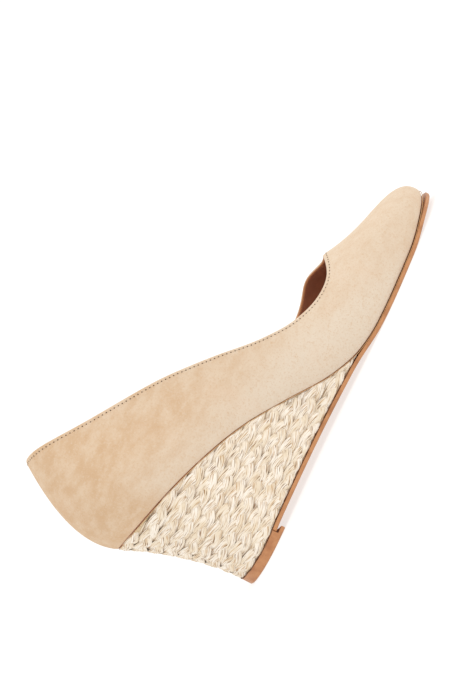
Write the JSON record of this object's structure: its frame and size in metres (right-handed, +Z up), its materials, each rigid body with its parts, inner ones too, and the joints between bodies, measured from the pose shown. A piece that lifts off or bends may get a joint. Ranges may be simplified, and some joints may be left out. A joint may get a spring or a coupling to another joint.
{
  "type": "wedge pump",
  "caption": "Woman's suede pump with a low-cut round throat on a high wedge heel wrapped in braided raffia, with a thin leather outsole and a heel top piece.",
  "frame": {"origin": "on the floor, under the middle of the heel's top piece", "axes": "+X towards the toe, +Z up, -Y towards the outer side of the foot"},
  "size_m": [0.2387, 0.0798, 0.1192],
  "materials": {
    "suede": "sand-beige suede with a soft, slightly mottled nap",
    "sock_leather": "smooth peach-tan lining leather with a soft gloss",
    "raffia": "natural straw-coloured raffia in flat braids, matt with fine fibres",
    "outsole_leather": "smooth orange-tan sole leather, satin",
    "top_piece_rubber": "smooth tan-brown wearing plate, satin"
  },
  "bodies": {
    "root": {"upper": "suede", "insole": "sock_leather", "wedge": "raffia", "outsole": "outsole_leather", "top_piece": "top_piece_rubber"}
  },
  "joints": []
}
